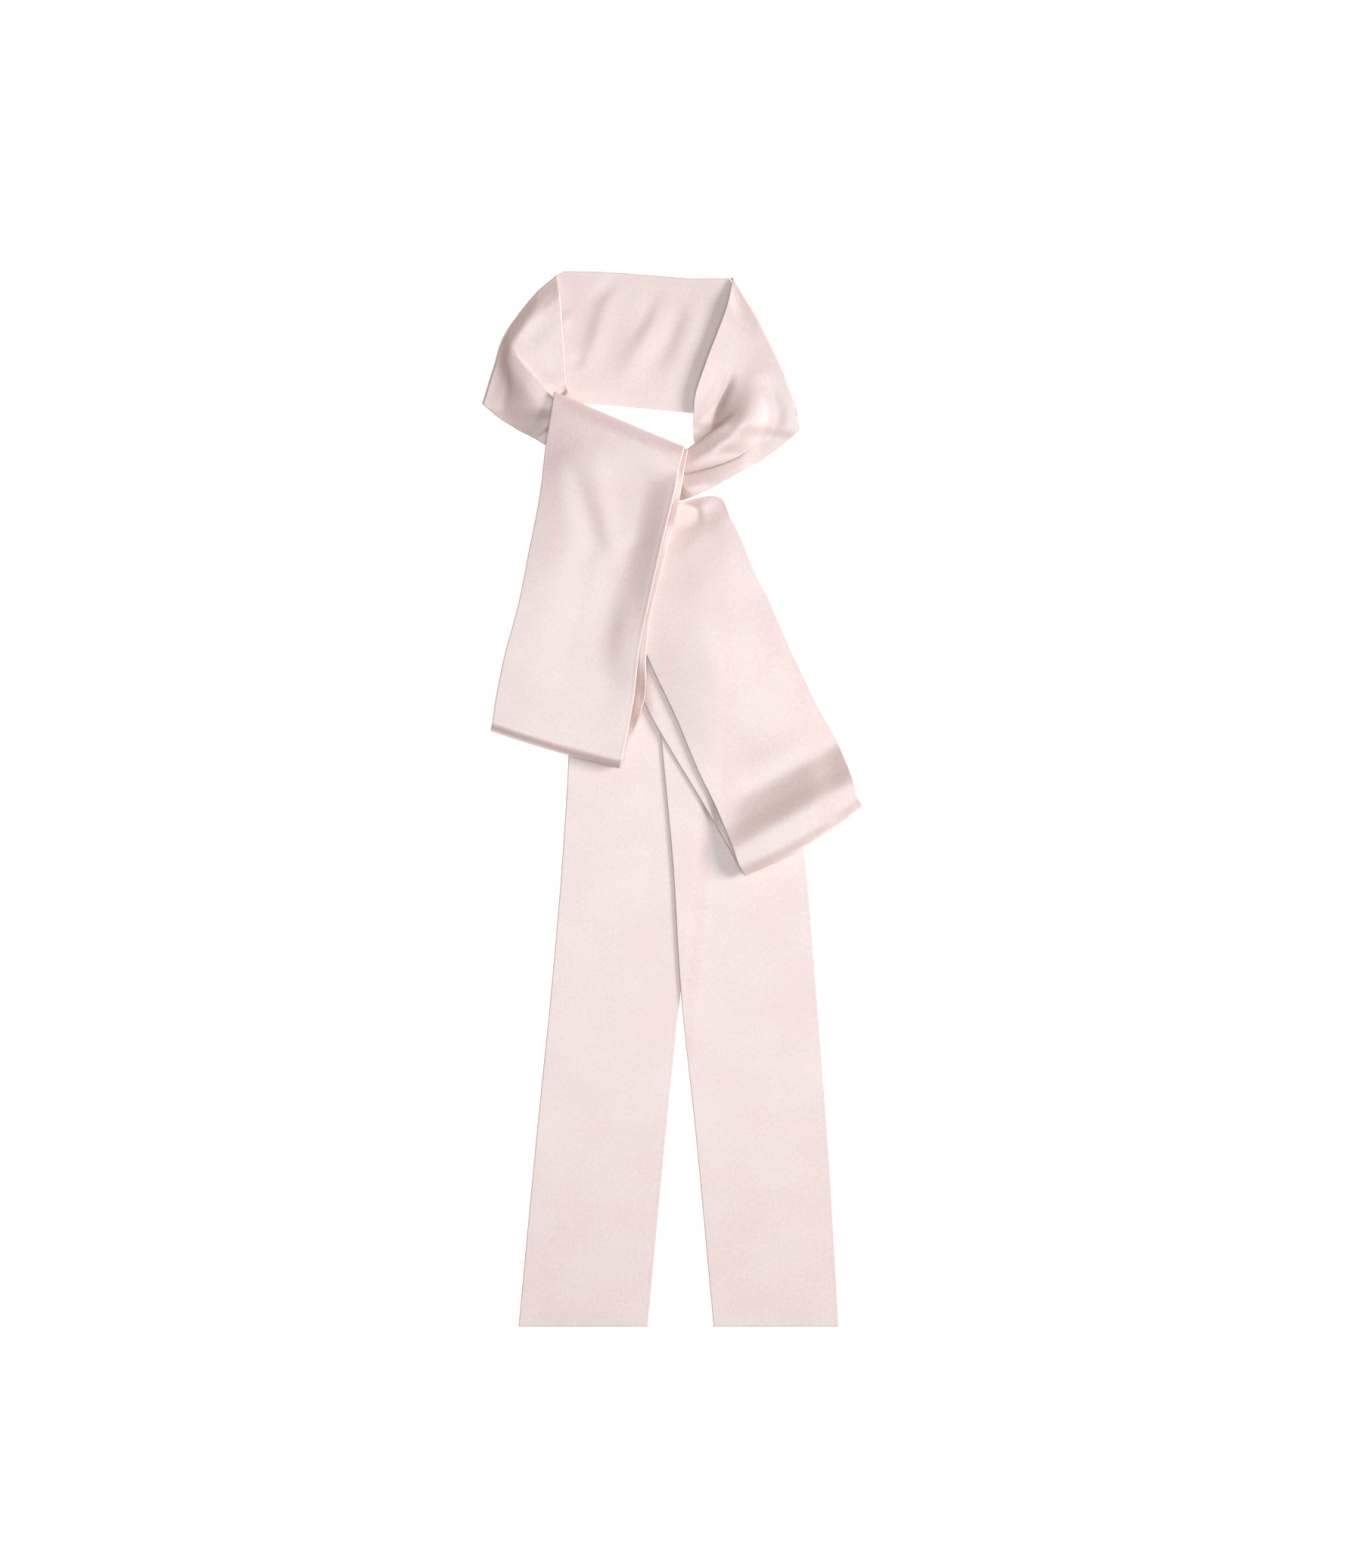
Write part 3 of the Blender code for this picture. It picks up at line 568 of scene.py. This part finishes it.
def layNeckBack():
    places = np.linspace(0.0, 1.0, neck["backPoints"])
    ends = []
    for fold in (neck["leftFold"], neck["rightFold"]):
        line = moveSideways(foldLine(np.array(fold), -1), neck["seamGap"], neck["middle"])
        length = runLengths(line)
        x = np.interp(places * length[-1], length, line[:, 0])
        y = np.interp(places * length[-1], length, line[:, 1])
        ends.append(np.stack([x, y, np.zeros_like(x)], axis=1))
    between = []
    for upperX, upperY, lowerX, lowerY in neck["backRows"]:
        x = upperX + (lowerX - upperX) * places
        y = upperY + (lowerY - upperY) * places
        between.append(np.stack([x, y, np.zeros_like(x)], axis=1))
    ends[0][0, 1] += neck["backLift"]
    net = np.array([ends[0]] + between + [ends[1]])
    grid, along, across = layDown(net, creases=neck["backCreases"], seam=False)
    grid, across = faceUp(grid, across)
    keepOnMap(grid)
    clothPiece("neckBack", "neck_back", grid, along, across, shadedInnerSatin)


def layNeckSide(name, node, side):
    fold = np.array(neck[side + "Fold"])
    net = np.concatenate([foldLine(fold, 1)[None], np.array(neck[side + "Rows"])])
    grid, along, across = layDown(net, creases=neck[side + "Creases"], pleats=neck[side + "Pleats"])
    way, inward = sideways(grid[0], neck["middle"])
    knots = runLengths(fold)
    places = runLengths(grid[0])
    places *= knots[-1] / places[-1]
    radius = np.interp(places, knots, fold[:, 2])
    slant = np.interp(places, knots, fold[:, 3])
    low = np.full_like(radius, strip["thickness"] / 2.0)
    lift = low + 2.0 * radius - grid[0, :, 2]
    for row, place in enumerate(along):
        grid[row, :, 2] += lift * ease(max(1.0 - place / neck["foldFade"], 0.0))
    turn = rollUnder(grid[0], -inward, low, radius[:, None], along=way, slant=slant[:, None])
    grid = np.concatenate([turn[::-1], grid])
    extra = np.pi * radius.mean()
    along = np.concatenate([np.linspace(0.0, extra, len(turn) + 1)[:-1], along + extra])
    grid, across = faceUp(grid, across)
    keepOnMap(grid)
    clothPiece(name, node, grid, along, across, blushSatin)


# the tails

tails = {
    "length": 445.0,
    "leftRows": (
        (-21.5, 152.1, 0.37, -2, 0.0, 0.0, 0.0),
        (-22.3, 114.6, 0.77, -1, 0.0, 0.0, 0.0),
        (-21.5, 72.9, 1.01, -1, 0.0, 0.0, 0.0),
        (-21.7, 29.6, 1.01, 0, 0.0, 0.0, 0.0),
        (-24.4, -25.8, 1.02, 0, 0.0, 0.0, 0.0),
        (-30.6, -100.8, 1.02, 0, 0.0, 0.0, 0.0),
        (-39.0, -184.2, 1.02, 0, 0.0, 0.0, 0.0),
        (-49.0, -290.4, 1.02, 0, 0.0, 0.0, 0.0),
    ),
    "rightRows": (
        (-8.1, 152.5, 0.32, 0, 0.0, 0.0, 0.0),
        (13.3, 110.8, 0.77, 0, 0.0, 0.0, 0.0),
        (26.0, 66.0, 1.01, 2, 0.0, 0.0, 0.0),
        (31.3, 17.7, 1.03, 1, 0.0, 0.0, 0.0),
        (36.9, -34.6, 1.05, 1, 0.0, 0.0, 0.0),
        (41.7, -101.2, 1.07, 1, 0.0, 0.0, 0.0),
        (49.2, -184.2, 1.04, 0, 0.0, 0.0, 0.0),
        (57.3, -290.4, 0.99, 0, 0.0, 0.0, 0.0),
    ),
    "ripples": ((80.0, 170.0, 0.18, 0.4), (20.0, 95.0, 0.12, 2.0), (140.0, 61.0, 0.05, 4.1)),
}


def layTail(name, node, rows):
    grid, along, across = layDown(sectionNet(rows), ripples=tails["ripples"])
    keepOnMap(grid)
    clothPiece(name, node, grid, along, across, blushSatin)


# the bow's loops

loops = {
    "rightUnderLength": 195.0, "rightFrontLength": 205.0,
    "leftUnderLength": 180.0, "leftFrontLength": 200.0,
    "rightRoll": 7.0,       # reach of the rolled ends
    "leftRoll": 4.8,
    "rollSteps": 24,
    "topRoll": 9.0,         # and of the roll over the knot
    "topRollArc": 165.0,
    "topRollAim": 4,        # row that gives its direction
    "topRollSearch": 4,     # cells to each side in which it looks for the highest cloth
    "topRollLeast": 1.3,
    "topFade": 20.0,        # how far from it the cloth comes down from its height
    "rightEnd": (72.5, -23.3, 1.08, 30),
    "rightBow": 3.0,
    "leftEnd": (-64.5, 27.1, 1.06, -16),
    "leftBow": 1.0,
}
loops["rightUnder"] = (
    (-2.1, 155.0, 0.27, 46, 0.0, 0.0, 0.0),
    (0.2, 146.2, 0.71, 38, 0.0, 0.0, 0.0),
    (4.0, 125.6, 0.97, 34, 0.0, 0.0, 0.0),
    (12.1, 92.9, 1.08, 24, 0.0, 0.0, 0.0),
    (18.5, 68.1, 1.06, 24, 0.0, 0.0, 0.0),
    (31.9, 44.6, 1.07, 26, 0.0, 0.0, 0.0),
    (48.1, 16.7, 1.05, 27, 0.0, 0.0, 0.0),
    (*loops["rightEnd"], 0.0, 0.0, 0.0),
)
loops["rightFront"] = (
    (-1.9, 155.8, 0.27, 52, 1.0, 1.5, 1.5, 1.2, 1.0),
    (1.4, 149.7, 0.73, 42, 1.0, 0.8, 0.3, 0.8, 4.2),
    (6.0, 132.7, 0.96, 36, 1.0, 1.4, 1.6, 2.2, 4.2),
    (12.7, 109.4, 1.04, 28, 1.0, 2.4, 3.2, 3.6, 3.0),
    (19.8, 93.8, 1.06, 27, 0.8, 2.6, 3.6, 3.4, 1.6),
    (35.8, 58.8, 1.05, 25, 1.0, 2.6, 3.4, 3.0, 1.6),
    (48.6, 30.8, 1.08, 27, 0.8, 1.4, 2.0, 1.4, 0.8),
    (56.6, 15.3, 1.09, 29, 0.9, 0.5, 0.2, 0.0, 0.0),
    (62.1, 2.5, 1.09, 29, 2.6, 2.8, 3.0, 3.2, 3.4),
    (66.3, -8.3, 1.09, 30, 5.8, 6.2, 6.6, 6.8, 6.8),
    (*loops["rightEnd"], 6.2, 6.6, 7.0, 7.2, 7.2),
)
loops["rightCreases"] = (
    (46.0, 70.0, 64.0, 62.0, 0.0, 8.0, -0.6),
    (-3.0, 155.5, 17.0, 158.0, 0.0, 6.5, -3.0),
)
loops["leftUnder"] = (
    (-25.2, 200.4, 1.0, -14, 0.0, 0.0, 0.0),
    (-30.0, 187.5, 1.07, -4, 0.0, 0.0, 0.0),
    (-32.1, 165.4, 1.04, 1, 0.0, 0.0, 0.0),
    (-39.6, 126.0, 0.97, -2, 0.0, 0.0, 0.0),
    (-45.2, 100.6, 0.95, -3, 0.0, 0.0, 0.0),
    (-48.8, 79.0, 0.99, 1, 0.0, 0.0, 0.0),
    (-52.7, 55.4, 1.07, -2, 0.0, 0.0, 0.0),
    (*loops["leftEnd"], 0.0, 0.0, 0.0),
)
loops["leftUnderCreases"] = ((5.0, 204.0, -6.0, 128.0, 0.0, 4.0, 1.7),)
loops["leftFront"] = (
    (-29.0, 208.5, 1.11, -23, 0.0, 1.8, 2.6, 1.8, 0.4),
    (-33.2, 185.5, 1.062, -10, 0.0, 2.0, 1.8, 1.2, 1.2),
    (-34.8, 172.7, 1.057, -2, 0.6, 1.6, 0.9, 0.6, 2.4),
    (-42.4, 136.4, 1.053, 4, 1.8, 1.8, 0.9, 0.9, 3.8),
    (-48.45, 107.7, 1.034, 2, 3.0, 2.4, 1.3, 1.4, 4.0),
    (-55.2, 79.4, 1.06, 2, 3.2, 2.8, 2.0, 2.2, 4.0),
    (-58.8, 56.0, 1.08, -2, 3.6, 3.6, 3.4, 3.2, 3.8),
    (*loops["leftEnd"], 4.8, 5.0, 5.0, 5.0, 4.8),
)
loops["leftCreases"] = (
    (-61.0, 202.0, -41.0, 130.0, 0.0, 6.0, -0.5),
    (-44.0, 200.0, -28.0, 116.0, -1.0, 6.0, 0.45),
    (-42.5, 218.0, -42.5, 192.0, 0.0, 3.2, -0.8),
    (-24.0, 120.0, -30.0, 62.0, 0.0, 7.0, 0.4),
)


def loopNet(rows, bow, back):
    # the last section is drawn back to where the roll starts, and bowed
    net = sectionNet(rows)
    outward = -sideways(net[-1], net[-2, 1, :2])[1][0]
    net[-1, :, :2] -= outward * (strip["thickness"] / 2.0 + back)
    bulge = bow * (1.0 - np.linspace(-1.0, 1.0, net.shape[1]) ** 2)
    net[-1, :, :2] += outward * bulge[:, None]
    return net, outward


def layUnder(name, node, rows, bow, roll, creases=()):
    grid, along, across = layDown(loopNet(rows, bow, roll + strip["air"])[0], creases=creases)
    keepOnMap(grid)
    clothPiece(name, node, grid, along, across, shadedInnerSatin)
    return grid


def layFront(rows, bow, roll, start, under, hang, creases):
    net, outward = loopNet(rows, bow, roll)
    back = net[1, :, :2] - net[0, :, :2]
    net[0, :, :2] += back / np.linalg.norm(back, axis=1, keepdims=True) * start
    grid, along, across = layDown(net, hang, creases)
    # the under stretch has its own columns, so its end height is read where these columns are
    share = across / across[-1]
    low = np.interp(share, np.linspace(0.0, 1.0, under.shape[1]), under[-1, :, 2])
    turn = rollUnder(grid[-1], outward, low, roll, steps=loops["rollSteps"])
    extra = 2.0 * roll
    along = np.concatenate([along, along[-1] + np.linspace(0.0, extra, len(turn) + 1)[1:]])
    return np.concatenate([grid, turn]), along, across


def layRightLoop():
    under = layUnder("rightLoopUnder", "loop_right_under", loops["rightUnder"], loops["rightBow"],
                     loops["rightRoll"])
    grid, along, across = layFront(loops["rightFront"], loops["rightBow"], loops["rightRoll"], 0.0,
                                   under, springy, loops["rightCreases"])
    keepOnMap(grid)
    clothPiece("rightLoopFront", "loop_right_front", grid, along, across, blushSatin)


def layLeftLoop():
    roll = loops["topRoll"]
    under = layUnder("leftLoopUnder", "loop_left_under", loops["leftUnder"], loops["leftBow"],
                     loops["leftRoll"],
                     loops["leftUnderCreases"])
    grid, along, across = layFront(loops["leftFront"], loops["leftBow"], loops["leftRoll"],
                                   roll + strip["thickness"] / 2.0, under, taut, loops["leftCreases"])
    outward = grid[0, :, :2] - grid[loops["topRollAim"], :, :2]
    outward /= np.linalg.norm(outward, axis=1, keepdims=True)
    search = range(-loops["topRollSearch"], loops["topRollSearch"] + 1)
    row, column = mapCells(grid[0, :, :2] + outward * roll / 2.0)
    highest = np.max([table["top"][row + k, column + n] for k in search for n in search], axis=0)
    even = np.polyval(np.polyfit(across, highest, 2), across)
    low = even + strip["air"] + strip["thickness"] / 2.0
    top = np.maximum(low + 2.0 * loops["topRollLeast"], grid[along < loops["topFade"], :, 2].max(axis=0))
    top = np.polyval(np.polyfit(across, top, 2), across)
    for row, place in enumerate(along):
        grid[row, :, 2] += (top - grid[row, :, 2]) * ease(max(1.0 - place / loops["topFade"], 0.0))
    turn = rollUnder(grid[0], outward, low, roll, loops["topRollArc"])
    grid = np.concatenate([turn[::-1], grid])
    extra = 2.0 * roll
    along = np.concatenate([np.linspace(0.0, extra, len(turn) + 1)[:-1], along + extra])
    clothPiece("leftLoopFront", "loop_left_front", grid, along, across, blushSatin)


# the gathered layers inside the knot

knot = {
    "middle": (-27.0, 178.0), "halfLength": 17.0, "halfWidth": 15.5, "height": 6.6,
    "rings": 14, "sides": 64, "gathers": 9, "gatherDepth": 0.5,
    "mapRings": 24,     # rings from the crown out that mark it on the height map
}


def layKnotGathers():
    around = np.linspace(0.0, 2.0 * math.pi, knot["sides"], endpoint=False)
    rings = []
    for step in range(knot["rings"]):
        rise = math.pi / 2.0 * step / knot["rings"]
        out = math.cos(rise)
        wave = 1.0 - knot["gatherDepth"] / knot["halfWidth"] * np.cos(around * knot["gathers"])
        x = knot["middle"][0] + knot["halfLength"] * out * wave * np.cos(around)
        y = knot["middle"][1] + knot["halfWidth"] * out * wave * np.sin(around)
        rings.append(np.stack([x, y, np.full_like(x, knot["height"] * math.sin(rise))], axis=1))
    crown = [knot["middle"][0], knot["middle"][1], knot["height"]]
    top = np.concatenate(rings + [[crown]])
    points = (top - planMiddle) * mm
    sides = knot["sides"]
    faces = [list(range(sides))[::-1]]
    for ring in range(knot["rings"] - 1):
        for k in range(sides):
            after = (k + 1) % sides
            low = ring * sides
            faces.append([low + k, low + after, low + sides + after, low + sides + k])
    last = (knot["rings"] - 1) * sides
    faces += [[last + k, last + (k + 1) % sides, len(points) - 1] for k in range(sides)]
    piece = newPiece("knotGathers", points, faces, points, shadedInnerSatin)
    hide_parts("knot_core")
    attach(piece, "root")
    for share in np.linspace(0.0, 1.0, knot["mapRings"]):
        inner = top * share + np.array(crown) * (1.0 - share)
        np.maximum.at(table["top"], mapCells(inner), inner[:, 2])


layNeckBack()
layTail("tailLeft", "tail_left", tails["leftRows"])
layTail("tailRight", "tail_right", tails["rightRows"])
layRightLoop()
layNeckSide("neckLeft", "neck_left", "left")
layNeckSide("neckRight", "neck_right", "right")
layKnotGathers()
layLeftLoop()
print("scarf laid")


# table, lights and camera

studio = {
    "tableColour": (0.93, 0.93, 0.93), "tableRoughness": 0.9, "tableSpecular": 0.2,
    "tableGlow": 0.64,
    "tableHalf": 3000.0,
    "tableDrop": 0.15,
    "photoHigh": 863.3,           # mm that the picture's height covers
    "cameraHeight": 3000.0,
    "cameraMiddle": (0.2, 8.0),
    "sensor": 36.0,
    "keyTurn": 8.0, "keyLift": 30.0, "keyDistance": 3400.0, "keySize": 1250.0, "keyPower": 128.0,
    "keyColour": (0.92, 1.0, 1.03),
    "topSize": 1000.0, "topHeight": 2100.0, "topPower": 13.2, "topColour": (0.86, 0.93, 0.93),
    "room": 0.18, "roomColour": (1.0, 0.88, 0.84),
}


def layTable():
    mesh = bpy.data.meshes.new("tableTop")
    half = studio["tableHalf"] * mm
    low = studio["tableDrop"] * mm
    corners = [(-half, -half, -low), (half, -half, -low), (half, half, -low), (-half, half, -low)]
    mesh.from_pydata(corners, [], [(0, 1, 2, 3)])
    top = bpy.data.objects.new("tableTop", mesh)
    bpy.context.scene.collection.objects.link(top)
    paint = bpy.data.materials.new("paleTable")
    paint.use_nodes = True
    shader = paint.node_tree.nodes["Principled BSDF"]
    shader.inputs["Base Color"].default_value = (*studio["tableColour"], 1.0)
    shader.inputs["Roughness"].default_value = studio["tableRoughness"]
    shader.inputs["Specular IOR Level"].default_value = studio["tableSpecular"]
    shader.inputs["Emission Color"].default_value = (1.0, 1.0, 1.0, 1.0)
    shader.inputs["Emission Strength"].default_value = studio["tableGlow"]
    mesh.materials.append(paint)


def addSoftbox(name, place, size, power, colour):
    light = bpy.data.lights.new(name, "AREA")
    light.color = colour
    light.shape = "SQUARE"
    light.size = size * mm
    light.energy = power
    lamp = bpy.data.objects.new(name, light)
    lamp.location = [value * mm for value in place]
    direction = -lamp.location
    lamp.rotation_euler = direction.to_track_quat("-Z", "Y").to_euler()
    lamp.visible_camera = False
    bpy.context.scene.collection.objects.link(lamp)


def lightStudio():
    turn = math.radians(studio["keyTurn"])
    lift = math.radians(studio["keyLift"])
    reach = studio["keyDistance"]
    key = (
        reach * math.cos(lift) * math.cos(turn),
        reach * math.cos(lift) * math.sin(turn),
        reach * math.sin(lift),
    )
    addSoftbox("keySoftbox", key, studio["keySize"], studio["keyPower"], studio["keyColour"])
    above = (0.0, 0.0, studio["topHeight"])
    addSoftbox("topSoftbox", above, studio["topSize"], studio["topPower"], studio["topColour"])
    world = bpy.data.worlds.new("paleRoom")
    world.use_nodes = True
    backdrop = world.node_tree.nodes["Background"]
    backdrop.inputs["Color"].default_value = (*studio["roomColour"], 1.0)
    backdrop.inputs["Strength"].default_value = studio["room"]
    bpy.context.scene.world = world
    bpy.context.scene.view_settings.view_transform = "Standard"


def setCamera():
    data = bpy.data.cameras.new("overheadCamera")
    data.sensor_width = studio["sensor"]
    data.lens = studio["sensor"] * studio["cameraHeight"] / studio["photoHigh"]
    camera = bpy.data.objects.new("overheadCamera", data)
    x, y = studio["cameraMiddle"]
    camera.location = (x * mm, y * mm, studio["cameraHeight"] * mm)
    bpy.context.scene.collection.objects.link(camera)
    bpy.context.scene.camera = camera


layTable()
lightStudio()
setCamera()
print("studio set")
